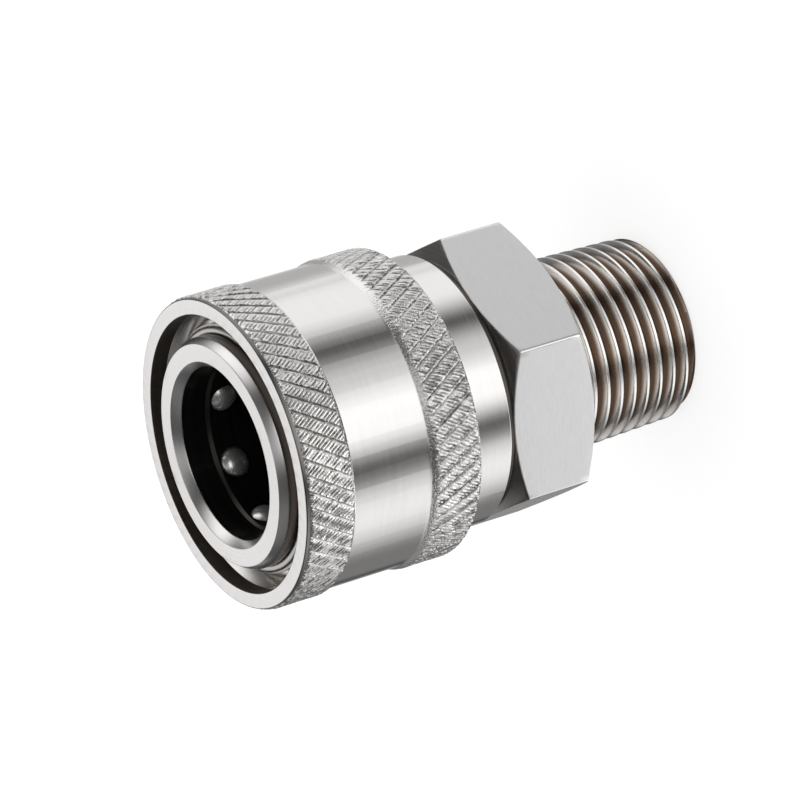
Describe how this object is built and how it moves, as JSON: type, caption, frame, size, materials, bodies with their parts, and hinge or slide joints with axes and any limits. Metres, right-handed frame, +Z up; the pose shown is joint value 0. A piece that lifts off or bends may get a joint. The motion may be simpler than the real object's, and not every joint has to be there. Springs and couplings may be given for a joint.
{
  "type": "pressure washer quick connector",
  "caption": "Socket half of a pressure washer quick connector: spring-loaded knurled sleeve over locking balls, wrench hexagon and male pipe thread.",
  "frame": {"origin": "centre of the pipe thread's end face, which it stands on", "axes": "+Z up the bore axis towards the socket's mouth; +X through a corner of the hexagon, +Y square to one of its flats"},
  "size_m": [0.028, 0.028, 0.0444],
  "materials": {
    "turned_body": "satin turned stainless steel",
    "knurled_sleeve": "turned and knurled stainless steel, polished waist",
    "spring_wire": "drawn spring wire",
    "ball": "ground and polished steel",
    "seal": "moulded nitrile rubber"
  },
  "bodies": {
    "connector": {"body": "turned_body", "retaining_ring": "spring_wire", "o_ring": "seal"},
    "spring": {"sleeve_spring": "spring_wire"},
    "sleeve": {"sleeve": "knurled_sleeve"},
    "ball_1": {"locking_ball_1": "ball"},
    "ball_2": {"locking_ball_2": "ball"},
    "ball_3": {"locking_ball_3": "ball"},
    "ball_4": {"locking_ball_4": "ball"},
    "ball_5": {"locking_ball_5": "ball"},
    "ball_6": {"locking_ball_6": "ball"},
    "ball_7": {"locking_ball_7": "ball"},
    "ball_8": {"locking_ball_8": "ball"}
  },
  "joints": [
    {"name": "sleeve_slide", "type": "slide", "parent": "connector", "child": "spring", "axis": [0, 0, -1], "range_m": [0, 0.004], "stiffness_N_per_m": 625, "springref_m": -0.0083, "deforming": ["sleeve_spring"]},
    {"name": "sleeve_spin", "type": "hinge", "parent": "spring", "child": "sleeve", "pos_m": [0, 0, 0.035], "axis": [0, 0, 1], "continuous": true},
    {"name": "ball_1_out", "type": "slide", "parent": "connector", "child": "ball_1", "axis": [0.8434, 0.5373, 0], "range_m": [0, 0.0007]},
    {"name": "ball_2_out", "type": "slide", "parent": "connector", "child": "ball_2", "axis": [0.2164, 0.9763, 0], "range_m": [0, 0.0007]},
    {"name": "ball_3_out", "type": "slide", "parent": "connector", "child": "ball_3", "axis": [-0.5373, 0.8434, 0], "range_m": [0, 0.0007]},
    {"name": "ball_4_out", "type": "slide", "parent": "connector", "child": "ball_4", "axis": [-0.9763, 0.2164, 0], "range_m": [0, 0.0007]},
    {"name": "ball_5_out", "type": "slide", "parent": "connector", "child": "ball_5", "axis": [-0.8434, -0.5373, 0], "range_m": [0, 0.0007]},
    {"name": "ball_6_out", "type": "slide", "parent": "connector", "child": "ball_6", "axis": [-0.2164, -0.9763, 0], "range_m": [0, 0.0007]},
    {"name": "ball_7_out", "type": "slide", "parent": "connector", "child": "ball_7", "axis": [0.5373, -0.8434, 0], "range_m": [0, 0.0007]},
    {"name": "ball_8_out", "type": "slide", "parent": "connector", "child": "ball_8", "axis": [0.9763, -0.2164, 0], "range_m": [0, 0.0007]}
  ],
  "couplings": [
    {"joint": "ball_1_out", "follows": "sleeve_slide", "ratio": 0.175},
    {"joint": "ball_2_out", "follows": "sleeve_slide", "ratio": 0.175},
    {"joint": "ball_3_out", "follows": "sleeve_slide", "ratio": 0.175},
    {"joint": "ball_4_out", "follows": "sleeve_slide", "ratio": 0.175},
    {"joint": "ball_5_out", "follows": "sleeve_slide", "ratio": 0.175},
    {"joint": "ball_6_out", "follows": "sleeve_slide", "ratio": 0.175},
    {"joint": "ball_7_out", "follows": "sleeve_slide", "ratio": 0.175},
    {"joint": "ball_8_out", "follows": "sleeve_slide", "ratio": 0.175}
  ]
}
